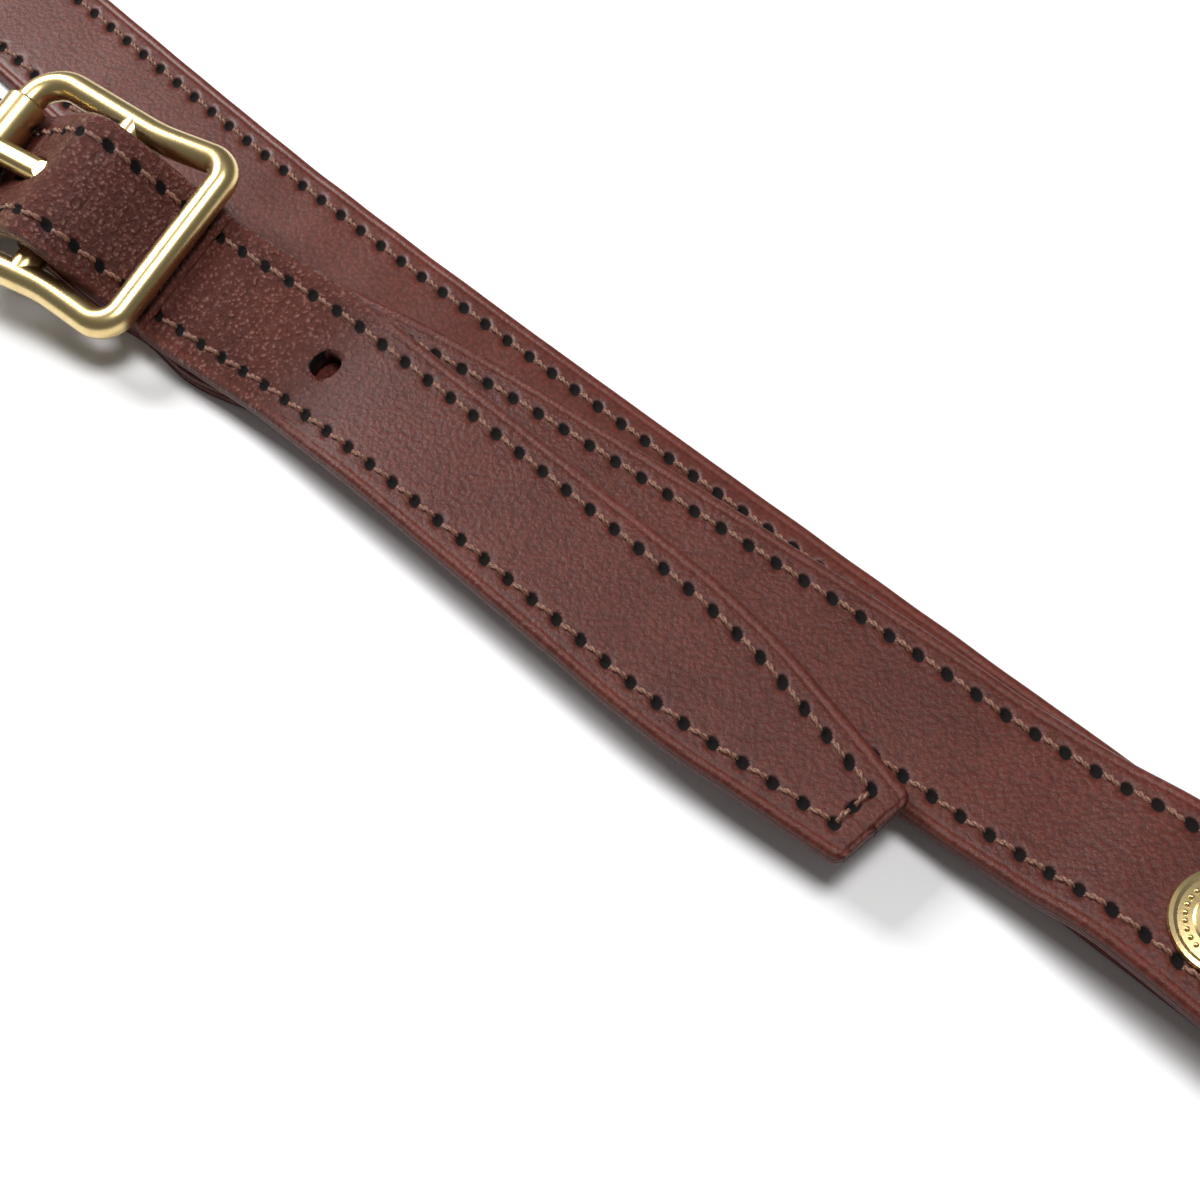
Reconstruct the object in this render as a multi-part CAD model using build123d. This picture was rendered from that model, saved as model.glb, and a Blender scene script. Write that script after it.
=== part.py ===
from build123d import *
import math
import os

os.makedirs("parts", exist_ok=True)

# Leather suspenders with a Y back, folded in half at the shoulders and laid flat.
# Layout axes: +X along the right buckle tab towards the belt loops, +Z up, table at z = 0.

# ---- driving dimensions, millimetres and degrees ----
strap_width = 20.0
ply = 1.3
rest_gap = 0.3
seam_gap = 0.3

bar_radius = 2.0
running_clearance = 0.06
frame_half_length = 15.3
frame_half_width = 13.9
frame_waist_half_width = 12.7
frame_waist_x = 4.0
frame_end_corner_radius = 2.9
frame_roller_corner_radius = 4.6
frame_waist_radius = 25.0
frame_pitch = -3.0
frame_shift = 0.3
roller_radius = 2.9
roller_length = 17.4
prong_width = 3.2
prong_reach = 19.4
slot_width = 4.2

hole_radius = 2.0
hole_pitch = 40.0
first_hole_x = -45.6
spare_hole_x = 42.8

cap_radius = 6.25
snap_flange_radius = 5.0
snap_barrel_radius = 1.9
snap_knob_radius = 2.2
snap_cavity_radius = 2.65
snap_spacing = 5.2
bead_count = 30

yoke_ply = 1.2
yoke_strap_z = 2.6
fold_radius = 8.0
loop_radius = 3.9

buckle_yaw = 6.0
buckle_bank = 10.0
buckle_offset = 5.9
buckle_height = 8.8
buckle_rise = 1.9
left_place = Location((0, 130, 0), (0, 0, 12))
left_turn = 12.0

parts = {}


# ---- strap paths ----
# A station is (x, y, z, heading, bank, width): a point on the line between the two plies,
# the plan angle and sideways tilt of the strap there, and its width.

def station(x, y, z, heading=0.0, bank=0.0, width=strap_width):
    return (x, y, z, heading, bank, width)


def vertical_loop(x, y, z, radius, heading_in, heading_out, outward, rising, steps=10):
    """Stations round half a turn in a vertical plane, where a strap doubles back."""
    found = []
    for i in range(1, steps):
        share = i / steps
        angle = math.pi * share
        heading = heading_in + (heading_out - heading_in) * share
        reach = outward * radius * math.sin(angle)
        height = rising * radius * (1 - math.cos(angle))
        dx = reach * math.cos(math.radians(heading))
        dy = reach * math.sin(math.radians(heading))
        found.append(station(x + dx, y + dy, z + height, heading))
    return found


def arc_points(cx, cz, radius, start, end, steps):
    """Points (x, z) on an arc in the buckle's side view."""
    angles = [math.radians(start + (end - start) * i / steps) for i in range(steps + 1)]
    return [(cx + radius * math.cos(a), cz + radius * math.sin(a)) for a in angles]


def frames(stations):
    """A point, a side direction, a normal and a width for every station of a path."""
    points = [Vector(*s[:3]) for s in stations]
    found = []
    for i, (x, y, z, heading, bank, width) in enumerate(stations):
        tangent = (points[min(i + 1, len(points) - 1)] - points[max(i - 1, 0)]).normalized()
        h = math.radians(heading)
        level = Vector(-math.sin(h), math.cos(h), 0)
        tilt = math.radians(bank)
        side = level * math.cos(tilt) + Vector(0, 0, 1) * math.sin(tilt)
        found.append((points[i], side, tangent.cross(side).normalized(), tangent, width))
    return found


def ribbon(path, low, high, first_gap=0.0, skived=0):
    """A leather strip along a run of frames, between two heights above the ply line.
    Its first skived stations are thinned on the inner face, as a turned-in end is."""
    wires = []
    for i, (point, side, normal, tangent, width) in enumerate(path):
        start = point + tangent * (first_gap if i == 0 else 0.0)
        inner = low + (rest_gap if i < skived else 0.0)
        corners = [
            start + side * (edge * width / 2) + normal * height
            for edge, height in ((-1, inner), (1, inner), (1, high), (-1, high))
        ]
        wires.append(Wire.make_polygon(corners, close=True))
    return Solid.make_loft(wires, ruled=True)


def round_hole(x, y, radius):
    return Location((x, y, 0)) * Cylinder(radius, 60)


# ---- side view of the straps at the buckle, about the centre bar ----
fold_inner = bar_radius + running_clearance
tab_outer_radius = fold_inner + ply
over_bar = tab_outer_radius + rest_gap + 0.1 + ply
under_bar = bar_radius + rest_gap + 0.1 + ply
under_roller = roller_radius + rest_gap + ply
pitch = math.radians(frame_pitch)
end_x = frame_half_length * math.cos(pitch)
end_z = frame_half_length * math.sin(pitch)
fall = math.degrees(math.asin((over_bar + under_bar) / frame_half_length)) - frame_pitch
climb = math.degrees(math.asin((over_bar + under_roller) / frame_half_length)) + frame_pitch
strap_profile = (
    arc_points(-end_x, -end_z, under_roller, -90, climb - 90, 3)
    + arc_points(0, 0, over_bar, 90 + climb, 90 - fall, 7)
    + arc_points(end_x, end_z, under_bar, 270 - fall, 270, 3)
)
tab_level = end_z - under_bar - 2 * ply - rest_gap
tab_join = (9.3, -4.5)
join_angle = math.degrees(math.atan2(tab_join[1], tab_join[0]))
tangent_angle = join_angle - math.degrees(math.acos(fold_inner / math.hypot(*tab_join)))
tab_wrap = arc_points(0, 0, fold_inner, tangent_angle, 90 - fall - 360, 9)
tab_exit = [(5.2, -1.3), tab_join] + arc_points(end_x, end_z, end_z - tab_level, 270 - fall, 270, 2)
fold_width = 18.0


# ---- one front strap end: its level runs, as (x, y, z, heading, rise, bank, width) ----
# rise and bank lift and tilt the right strap where it lies over the back strap.
tab_turned_end = 38.0
tab_run = [
    (25.0, -4.2, 1.4, 5.0, 1.95, 9.5, strap_width),
    (tab_turned_end, -2.4, 1.4, 3.0, 2.6, 9.0, strap_width),
    (tab_turned_end + 0.8, -2.3, 1.4, 3.0, 2.62, 8.8, strap_width),
    (49.0, -0.9, 1.4, 1.5, 2.9, 4.5, strap_width),
    (62.0, 0.0, 1.4, 0.5, 2.85, 0.5, strap_width),
    (85.0, 0.3, 1.4, 0.0, 2.8, 0.0, strap_width),
    (112.0, 0.3, 1.4, -1.0, 2.8, 0.0, strap_width),
    (135.0, -0.5, 1.6, -3.0, 2.8, 0.0, strap_width),
    (149.0, -1.4, 3.6, -4.5, 2.8, 0.0, strap_width),
    (160.5, -2.4, 6.6, -6.0, 2.8, 0.0, strap_width),
    (168.0, -3.2, 6.6, -6.0, 2.8, 0.0, strap_width),
    (175.5, -4.0, 6.6, -6.0, 2.8, 0.0, strap_width),
    (187.0, -5.2, 8.8, -6.0, 2.8, 0.0, strap_width),
    (200.0, -6.5, 9.2, -6.0, 2.8, 0.0, strap_width),
    (216.0, -8.2, 9.2, -6.0, 2.8, 0.0, strap_width),
]
flap_run = [
    (216.0, -8.2, 1.4, -6.0, 2.8, 0.0, strap_width),
    (200.0, -6.5, 1.4, -6.0, 2.8, 0.0, strap_width),
    (189.0, -5.3, 1.4, -6.0, 2.8, 0.0, 17.5),
    (179.0, -4.3, 1.4, -6.0, 2.8, 0.0, 13.5),
    (160.5, -2.4, 1.4, -6.0, 2.8, 0.0, 12.0),
]
tail_run = [
    (18.0, -4.2, 4.3, 5.0, 1.9, 10.0, strap_width),
    (25.0, -4.3, 4.3, 4.0, 2.0, 9.5, strap_width),
    (37.0, -4.3, 4.3, -1.5, 2.3, 8.5, strap_width),
    (48.0, -5.1, 4.3, -4.5, 2.65, 4.5, strap_width),
    (60.0, -6.2, 4.3, -5.5, 2.85, 0.5, strap_width),
    (85.0, -8.7, 4.3, -6.0, 2.8, 0.0, strap_width),
    (98.0, -10.1, 4.3, -6.5, 2.8, 0.0, strap_width),
    (108.0, -11.4, 4.3, -7.5, 2.8, 0.0, 19.0),
    (120.0, -13.1, 4.3, -8.0, 2.8, 0.0, 15.6),
    (133.0, -15.0, 4.3, -8.5, 2.8, 0.0, 11.3),
]
snap_x = 168.0
snap_y = -3.2

# ---- incoming front straps, from the shoulder fold to the buckle, in layout axes ----
right_incoming = [
    station(-290, 11.2, 17.3, -9),
    station(-280, 9.6, 16.3, -9),
    station(-265, 7.2, 13.4, -9),
    station(-245, 3.0, 9.6, -9.5),
    station(-225, -2.0, 6.4, -9.5),
    station(-206, -6.0, 3.6, -9),
    station(-186, -8.6, 1.5, -7),
    station(-130, -12.0, 1.4, -4),
    station(-80, -13.3, 1.6, 1),
    station(-60, -12.5, 3.0, 4, 2),
    station(-44, -11.0, 4.9, 5, 5),
    station(-30, -9.3, 6.5, 6, 8),
]
left_incoming = [
    station(-284, 77.5, 17.3, 14),
    station(-270, 81.0, 15.9, 14),
    station(-250, 86.2, 11.4, 14.5),
    station(-230, 91.4, 6.6, 14.5),
    station(-205, 98.0, 2.5, 14.5),
    station(-180, 104.3, 1.4, 14),
    station(-130, 116.2, 1.4, 13),
    station(-80, 126.6, 1.4, 11),
    station(-60, 130.0, 1.7, 9),
    station(-45, 131.9, 3.2, 7),
    station(-30, 133.6, 4.6, 6),
]
right_arm = [
    station(-170, 22.3, 2.6, 9),
    station(-213, 16.2, 2.6, 6.5),
    station(-232, 14.4, 1.35, 5),
    station(-250, 13.0, 1.35, 4),
    station(-290, 11.2, 1.3, 2),
]
left_arm = [
    station(-170, 43.6, 2.6, -18),
    station(-213, 58.0, 2.6, -18),
    station(-232, 64.1, 1.35, -17),
    station(-250, 69.4, 1.35, -15),
    station(-284, 77.5, 1.3, -12),
]
back_run = [
    station(-166, 33.0, 2.6, -5),
    station(-131, 29.8, 2.6, -5.5),
    station(-112, 27.8, 1.35, -6),
    station(-67, 22.6, 1.3, -7.5),
    station(-34, 18.3, 1.3, -8),
    station(-10, 15.0, 1.3, -7.5),
    station(12, 12.2, 1.3, -6.5),
    station(36, 9.8, 1.3, -5.5),
    station(60, 7.8, 1.3, -4.5),
    station(110, 4.2, 1.3, -4),
    station(160, 0.7, 1.3, -4),
    station(216, -3.2, 1.4, -4),
    station(228, -4.0, 2.0, -4),
    station(237, -4.6, 2.8, -4),
    station(252, -5.7, 2.8, -4),
    station(270, -6.9, 2.8, -4),
    station(287, -8.1, 2.8, -4),
]
back_flap_run = [
    station(287, -8.1, 10.6, -4),
    station(272, -7.0, 10.4, -4),
    station(263, -6.4, 9.5, -4, 0, 17.5),
    station(253, -5.7, 8.1, -4, 0, 13.5),
    station(250, -5.5, 8.0, -4, 0, 13.0),
    station(234, -4.4, 8.0, -4, 0, 12.0),
]
back_snap_x = 243.0
back_snap_y = -5.05


def run_stations(run, lifted, mirror, place, turn):
    """Level stations of a front strap end, mirrored and placed for its side."""
    found = []
    for x, y, z, heading, rise, bank, width in run:
        spot = (place * Location((x, y * mirror, 0))).position
        height = z + (rise if lifted else 0.0)
        found.append((spot.X, spot.Y, height, heading * mirror + turn, bank if lifted else 0.0, width))
    return found


def profile_stations(profile, hub, heading, bank, width):
    """Stations for side-view points (x, z) about the centre bar."""
    found = []
    for x, z in profile:
        spot = (hub * Location((x, 0, z))).position
        found.append((spot.X, spot.Y, spot.Z, heading, bank, width))
    return found


# ---- hardware, modelled about the centre bar with the bars along Y ----
def buckle_frame():
    corners = [
        (frame_half_length, -frame_half_width),
        (frame_half_length, frame_half_width),
        (frame_waist_x, frame_waist_half_width),
        (-frame_half_length, frame_half_width),
        (-frame_half_length, -frame_half_width),
        (frame_waist_x, -frame_waist_half_width),
    ]
    radii = [
        frame_end_corner_radius, frame_end_corner_radius, frame_waist_radius,
        frame_roller_corner_radius, frame_roller_corner_radius, frame_waist_radius,
    ]
    loop = FilletPolyline(*corners, radius=radii, close=True)
    section = Plane(origin=loop @ 0, z_dir=loop % 0) * Circle(bar_radius)
    ring = sweep(section, path=loop)
    bar = Rotation(90, 0, 0) * Cylinder(bar_radius, 2 * frame_waist_half_width + 0.8)
    return ring + bar


def roller():
    bore = Cylinder(bar_radius + running_clearance, roller_length + 1)
    tube = Cylinder(roller_radius, roller_length) - bore
    tube = chamfer(tube.edges().filter_by(GeomType.CIRCLE).group_by(SortBy.RADIUS)[-1], 0.35)
    return Location((-frame_half_length, 0, 0), (90, 0, 0)) * tube


def prong():
    rest = roller_radius + 0.06
    top = rest + 1.9
    shank = Polygon(
        (1.2, 2.5), (-1.5, rest + 0.2), (-5.0, top), (-prong_reach + 1.2, top - 0.1),
        (-prong_reach, top - 0.9), (-prong_reach + 0.5, rest - 0.1), (-prong_reach + 1.8, rest),
        (-5.5, rest), (-2.5, 1.2), align=None,
    )
    eye = Circle(tab_outer_radius - 0.1)
    side_view = eye + shank - Circle(bar_radius + running_clearance)
    body = extrude(Plane.XZ * side_view, amount=prong_width / 2, both=True)
    long_edges = body.edges().filter_by(lambda e: abs(e.tangent_at(0.5).Y) < 0.1)
    top_edges = long_edges.filter_by(lambda e: e.length > 8 and e.center().Z > rest + 1)
    return fillet(top_edges, 1.2)


def snap_cap():
    """Domed cap with a beaded band, above the strap's outer face at z = ply."""
    face = ply + 0.02
    profile = Polyline(
        (0, face - 2 * ply - 0.9), (snap_barrel_radius, face - 2 * ply - 0.9), (snap_barrel_radius, face),
        (cap_radius - 0.25, face), (cap_radius, face + 0.3), (cap_radius - 0.15, face + 0.75),
        (cap_radius - 0.6, face + 0.85), (cap_radius - 1.0, face + 0.68), (3.7, face + 0.78),
        (3.45, face + 0.95), (2.4, face + 1.25), (1.2, face + 1.42), (0, face + 1.48),
        (0, face - 2 * ply - 0.9),
    )
    cap = revolve(Plane.XZ * make_face(profile), Axis.Z)
    for i in range(bead_count):
        angle = math.radians(360 * i / bead_count)
        spot = (4.45 * math.cos(angle), 4.45 * math.sin(angle), face + 0.76)
        cap += Location(spot) * Sphere(0.3)
    return cap


def snap_socket():
    """Ring that clenches the cap's barrel under the strap and grips the knob."""
    top = -ply - 0.02
    height = 1.85
    ring = Location((0, 0, top - height / 2)) * Cylinder(snap_flange_radius, height)
    ring = fillet(ring.edges().filter_by(GeomType.CIRCLE).group_by(Axis.Z)[0], 0.5)
    return ring - Location((0, 0, top - height / 2)) * Cylinder(snap_cavity_radius, height + 1)


def snap_stud():
    """Knob on the flap's inner face, pointing up into the socket."""
    base = -snap_spacing + ply + 0.02
    profile = Polyline(
        (0.0, base), (snap_flange_radius, base), (snap_flange_radius, base + 0.3),
        (snap_flange_radius - 0.5, base + 0.55), (snap_knob_radius - 0.25, base + 0.6),
        (snap_knob_radius - 0.25, base + 0.9), (snap_knob_radius, base + 1.2),
        (snap_knob_radius - 0.5, base + 1.55), (0, base + 1.6), (0, base),
    )
    return revolve(Plane.XZ * make_face(profile), Axis.Z)


def snap_post():
    """Eyelet let into the flap's outer face, its barrel passing up to the knob."""
    face = -snap_spacing - ply
    flange = Location((0, 0, face + 0.3)) * Cylinder(snap_flange_radius, 0.5)
    barrel = Location((0, 0, face + ply + 0.15)) * Cylinder(1.6, 2 * ply - 0.4)
    return flange + barrel


def snap_cutters(at):
    """Holes that the snap needs in the strap and in the flap, at a snap's place."""
    strap_hole = at * Cylinder(snap_barrel_radius + 0.05, 2.4 * ply)
    flap_hole = at * (Location((0, 0, -snap_spacing)) * Cylinder(1.65, 2.4 * ply))
    recess_z = -snap_spacing - ply + 0.24
    recess = at * (Location((0, 0, recess_z)) * Cylinder(snap_flange_radius + 0.05, 0.64))
    return strap_hole, flap_hole + recess


def add_snap(name, at):
    for piece, make in (("cap", snap_cap), ("socket", snap_socket), ("stud", snap_stud), ("post", snap_post)):
        parts[f"{name}_snap_{piece}"] = at * make()


def add_front(name, arm, incoming, lifted, mirror, place, turn):
    """Everything from the yoke to the belt loop of one front strap."""
    rise = buckle_rise if lifted else 0.0
    bank = buckle_bank if lifted else 0.0
    spot = Location((0, -buckle_offset * mirror, buckle_height + rise))
    hub = place * spot * Rotation(0, 0, buckle_yaw * mirror) * Rotation(bank, 0, 0)
    heading = buckle_yaw * mirror + turn
    hubs[name] = hub

    # shoulder strap, its fold, front strap through the buckle, then the free tail
    low_end = arm[-1]
    fold_loop = vertical_loop(*low_end[:3], fold_radius, low_end[3], incoming[0][3], -1, 1, steps=12)
    through = profile_stations(strap_profile, hub, heading, bank, strap_width)
    tail = run_stations(tail_run, lifted, mirror, place, turn)
    path = frames(arm + fold_loop + incoming + through + tail)
    fold = len(arm) + len(fold_loop)
    split = fold + len(incoming) + len(through)
    slot = hub * Location((-6.4, 0, 6.7)) * Box(12.2, slot_width, 10.6)
    adjusting = [first_hole_x - hole_pitch * i for i in range(3)]
    punches = [round_hole(x, path_y(incoming, x), hole_radius) for x in adjusting]
    spare = (place * Location((spare_hole_x, -4.7 * mirror, 0))).position
    for layer, low, high in (("outer", 0.0, ply), ("lining", -ply, 0.0)):
        parts[f"{name}_shoulder_strap_{layer}"] = ribbon(path[:fold + 1], low, high)
        strip = ribbon(path[fold:split + 1], low, high, first_gap=seam_gap) - slot
        for punch in punches:
            strip -= punch
        parts[f"{name}_front_strap_{layer}"] = strip
        free = ribbon(path[split:], low, high, first_gap=seam_gap)
        parts[f"{name}_tail_{layer}"] = free - round_hole(spare.X, spare.Y, hole_radius)
    seams[f"{name}_tail"] = path[split]
    seams[f"{name}_fold"] = path[fold]

    # buckle tab: turned end, fold round the centre bar, level run, belt loop, flap
    level = run_stations(tab_run, lifted, mirror, place, turn)
    flap = run_stations(flap_run, lifted, mirror, place, turn)
    exit_run = profile_stations(tab_exit, hub, heading, bank, strap_width)
    under_run = [level[1], level[0]] + exit_run[:0:-1]
    wrap = profile_stations(tab_wrap, hub, heading, bank, fold_width)
    end = level[-1]
    end_loop = vertical_loop(end[0], end[1], end[2], loop_radius, end[3], end[3], 1, -1)
    path = frames(under_run + wrap + exit_run + level + end_loop + flap)
    lining_start = len(under_run) + len(wrap) + len(exit_run) + 2
    seam = lining_start - 2 + len(level) + len(end_loop)
    snap_spot = place * Location((snap_x, snap_y * mirror, 0))
    snap_z = 6.6 + (2.8 if lifted else 0.0)
    at = Location((snap_spot.position.X, snap_spot.position.Y, snap_z))
    strap_hole, flap_hole = snap_cutters(at)
    prong_slot = hub * Location((-0.4, 0, 0.25)) * Box(9.2, slot_width, 9.5)
    tab = ribbon(path[:seam + 1], 0.0, ply, skived=len(under_run))
    parts[f"{name}_tab_outer"] = tab - prong_slot - strap_hole
    parts[f"{name}_tab_lining"] = ribbon(path[lining_start:seam + 1], -ply, 0.0) - strap_hole
    parts[f"{name}_flap_outer"] = ribbon(path[seam:], 0.0, ply, seam_gap) - flap_hole
    parts[f"{name}_flap_lining"] = ribbon(path[seam:], -ply, 0.0, seam_gap) - flap_hole
    seams[f"{name}_flap"] = path[seam]

    tilted = hub * Rotation(0, -frame_pitch, 0)
    shift = Location((0, frame_shift * mirror, 0))
    parts[f"{name}_buckle_frame"] = tilted * shift * buckle_frame()
    parts[f"{name}_buckle_roller"] = tilted * shift * roller()
    parts[f"{name}_buckle_prong"] = tilted * prong()
    add_snap(name, at)


def path_y(stations, x):
    """The strap's centre line at a given x, between two stations."""
    for a, b in zip(stations, stations[1:]):
        if a[0] <= x <= b[0]:
            return a[1] + (b[1] - a[1]) * (x - a[0]) / (b[0] - a[0])
    return stations[-1][1]


def add_back():
    """The back strap, its belt loop and its flap, folded over the top."""
    end = back_run[-1]
    end_loop = vertical_loop(end[0], end[1], end[2], loop_radius, end[3], end[3], 1, 1)
    path = frames(back_run + end_loop + back_flap_run)
    seam = len(back_run) + len(end_loop)
    at = Location((back_snap_x, back_snap_y, 2.8)) * Rotation(180, 0, 0)
    strap_hole, flap_hole = snap_cutters(at)
    for layer, low, high in (("outer", -ply, 0.0), ("lining", 0.0, ply)):
        parts[f"back_strap_{layer}"] = ribbon(path[:seam + 1], low, high) - strap_hole
        parts[f"back_flap_{layer}"] = ribbon(path[seam:], low, high, seam_gap) - flap_hole
    seams["back_flap"] = path[seam]
    add_snap("back", at)


def add_yoke():
    """Two leather patches that sandwich the ends of the three straps."""
    outline = Polygon(
        (-134, 17.5), (-150, 14.5), (-178, 7.0), (-198, 4.6), (-206, 27.0), (-211, 37.5),
        (-206, 45.0), (-211, 69.5), (-190, 63.5), (-158, 50.5), (-134, 42.8), align=None,
    )
    patch = fillet(outline.vertices(), 4.0)
    under = extrude(patch, amount=yoke_ply, dir=(0, 0, 1))
    parts["yoke_under"] = under
    parts["yoke_top"] = Location((0, 0, yoke_strap_z + ply)) * under


hubs = {}
seams = {}
add_back()
add_yoke()
add_front("right", right_arm, right_incoming, True, 1, Location((0, 0, 0)), 0.0)
add_front("left", left_arm, left_incoming, False, -1, left_place, left_turn)

# ---- origin at the middle of the whole object's footprint, on the table ----
whole = Compound(children=[Part() + piece for piece in parts.values()]).bounding_box()
origin_x = (whole.min.X + whole.max.X) / 2
origin_y = (whole.min.Y + whole.max.Y) / 2
to_origin = Location((-origin_x, -origin_y, -whole.min.Z))

for name, piece in parts.items():
    export_step(to_origin * piece, f"parts/{name}.step")
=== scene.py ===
import bpy
import math
import numpy as np
from mathutils import Matrix, Vector


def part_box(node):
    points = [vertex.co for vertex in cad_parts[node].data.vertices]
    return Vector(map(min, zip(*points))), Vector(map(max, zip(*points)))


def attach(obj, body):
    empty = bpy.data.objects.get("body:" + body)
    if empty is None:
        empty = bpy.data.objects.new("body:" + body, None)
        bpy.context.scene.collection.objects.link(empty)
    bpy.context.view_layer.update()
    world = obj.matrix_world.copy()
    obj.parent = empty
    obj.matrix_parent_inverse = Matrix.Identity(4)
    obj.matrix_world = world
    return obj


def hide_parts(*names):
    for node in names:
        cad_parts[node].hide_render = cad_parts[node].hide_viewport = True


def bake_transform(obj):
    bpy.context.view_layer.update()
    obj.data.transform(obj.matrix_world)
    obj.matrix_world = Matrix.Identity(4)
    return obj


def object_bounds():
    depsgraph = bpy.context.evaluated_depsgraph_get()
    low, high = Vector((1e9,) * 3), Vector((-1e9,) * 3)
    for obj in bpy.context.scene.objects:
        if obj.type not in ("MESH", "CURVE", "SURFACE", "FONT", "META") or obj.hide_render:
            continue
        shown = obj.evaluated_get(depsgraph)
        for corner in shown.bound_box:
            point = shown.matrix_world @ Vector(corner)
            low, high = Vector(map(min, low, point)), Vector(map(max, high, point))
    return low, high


# Leather suspenders lying folded on a table. Lengths in this script are millimetres in the CAD's
# layout axes (+X along the right buckle tab, +Z up, table at z = 0) until row() turns them into the
# row frame. The camera's distance, the lights and the table are in metres.

MM = 0.001

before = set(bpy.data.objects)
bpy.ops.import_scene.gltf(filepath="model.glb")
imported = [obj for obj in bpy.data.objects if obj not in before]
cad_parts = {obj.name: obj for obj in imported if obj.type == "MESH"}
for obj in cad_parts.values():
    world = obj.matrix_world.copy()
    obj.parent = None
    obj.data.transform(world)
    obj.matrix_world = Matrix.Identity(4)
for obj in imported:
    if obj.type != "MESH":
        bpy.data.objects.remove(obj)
cad_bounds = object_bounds()

# ---- where the layout sits in the row frame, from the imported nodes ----
SNAP_SPOT = (168.0, -3.2)
cap_low, cap_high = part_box("right_snap_cap")
table_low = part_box("yoke_under")[0]
SHIFT = np.array([
    (cap_low.x + cap_high.x) / 2 - SNAP_SPOT[0] * MM,
    (cap_low.y + cap_high.y) / 2 - SNAP_SPOT[1] * MM,
    table_low.z,
])


def row(points):
    """Layout millimetres to the row frame's metres."""
    return np.asarray(points, float) * MM + SHIFT


# ---- camera: the photograph's viewing angle ----
LOOK_AT = (88.0, -7.0, 0.0)
CAMERA_HEADING = math.radians(-45.96)
CAMERA_ELEVATION = math.radians(57.7)
CAMERA_ROLL = math.radians(-5.6)
CAMERA_DISTANCE = 0.255
FOCAL_LENGTH = 64.5


def add_camera():
    back = Vector((
        math.cos(CAMERA_ELEVATION) * math.cos(CAMERA_HEADING),
        math.cos(CAMERA_ELEVATION) * math.sin(CAMERA_HEADING),
        math.sin(CAMERA_ELEVATION),
    ))
    level = Vector((0, 0, 1)).cross(back).normalized()
    lift = back.cross(level)
    right = level * math.cos(CAMERA_ROLL) + lift * math.sin(CAMERA_ROLL)
    up = back.cross(right)
    place = Matrix((right, up, back)).transposed().to_4x4()
    place.translation = Vector(row(LOOK_AT)) + back * CAMERA_DISTANCE
    data = bpy.data.cameras.new("camera")
    data.lens = FOCAL_LENGTH
    data.sensor_width = 36.0
    data.clip_start = 0.01
    camera = bpy.data.objects.new("camera", data)
    bpy.context.scene.collection.objects.link(camera)
    camera.matrix_world = place
    bpy.context.scene.camera = camera


add_camera()


# ---- light: two soft studio boxes and a pale room ----
def add_light(name, toward, distance, size, watts):
    """A square soft box at a direction from what the camera looks at."""
    toward = Vector(toward).normalized()
    data = bpy.data.lights.new(name, "AREA")
    data.shape = "SQUARE"
    data.size = size
    data.energy = watts
    light = bpy.data.objects.new(name, data)
    bpy.context.scene.collection.objects.link(light)
    light.matrix_world = toward.to_track_quat("Z", "Y").to_matrix().to_4x4()
    light.matrix_world.translation = Vector(row(LOOK_AT)) + toward * distance


add_light("key_light", (-1.0, 0.12, 0.85), 0.8, 0.3, 5.8)
add_light("top_light", (0.14, 0.1, 1.0), 1.0, 0.34, 6.2)
bpy.context.scene.view_settings.view_transform = "Standard"

ROOM_COLOUR = (1.0, 0.99, 0.975, 1)
ROOM_STRENGTH = 0.17
world = bpy.data.worlds.new("room")
bpy.context.scene.world = world
world.use_nodes = True
background = world.node_tree.nodes["Background"]
background.inputs["Color"].default_value = ROOM_COLOUR
background.inputs["Strength"].default_value = ROOM_STRENGTH


# ---- node helpers ----
class Shader:
    """A material with a Principled shader and short calls to add nodes to it."""

    def __init__(self, name, **values):
        self.material = bpy.data.materials.new(name)
        self.material.use_nodes = True
        self.tree = self.material.node_tree
        self.shader = self.tree.nodes["Principled BSDF"]
        for key, value in values.items():
            self.shader.inputs[key.replace("_", " ")].default_value = value

    def add(self, kind, settings=None, **inputs):
        node = self.tree.nodes.new(kind)
        for key, value in (settings or {}).items():
            setattr(node, key, value)
        for key, value in inputs.items():
            self.plug(value, node.inputs[key.replace("_", " ")])
        return node

    def plug(self, value, socket):
        if isinstance(value, bpy.types.NodeSocket):
            self.tree.links.new(value, socket)
        else:
            socket.default_value = value

    def math(self, operation, a, b=0.0):
        node = self.add("ShaderNodeMath", {"operation": operation})
        self.plug(a, node.inputs[0])
        self.plug(b, node.inputs[1])
        return node.outputs[0]

    def ramp(self, value, *stops):
        node = self.add("ShaderNodeValToRGB", Fac=value)
        while len(node.color_ramp.elements) < len(stops):
            node.color_ramp.elements.new(0.5)
        for element, (position, colour) in zip(node.color_ramp.elements, stops):
            element.position = position
            element.color = (*colour, 1) if len(colour) == 3 else colour
        return node.outputs["Color"]

    def mix(self, factor, a, b):
        node = self.add("ShaderNodeMix", {"data_type": "RGBA"})
        self.plug(factor, node.inputs[0])
        self.plug(a, node.inputs[6])
        self.plug(b, node.inputs[7])
        return node.outputs[2]

    def finish(self, colour=None, roughness=None, normal=None):
        for value, socket in ((colour, "Base Color"), (roughness, "Roughness"), (normal, "Normal")):
            if value is not None:
                self.tree.links.new(value, self.shader.inputs[socket])
        return self.material


def grey(value):
    return (value, value, value)


# ---- materials ----
# Lighter tint for grain tops where the leather is bent: partly pulled-up leather, partly a painted highlight.
PULLUP_AND_PAINTED_HIGHLIGHT = (0.42, 0.25, 0.21, 1)
# Near-black painted shade for the inside of awl holes and the rims of punched holes.
PAINTED_HOLE_SHADE = (0.004, 0.002, 0.0018, 1)


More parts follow.
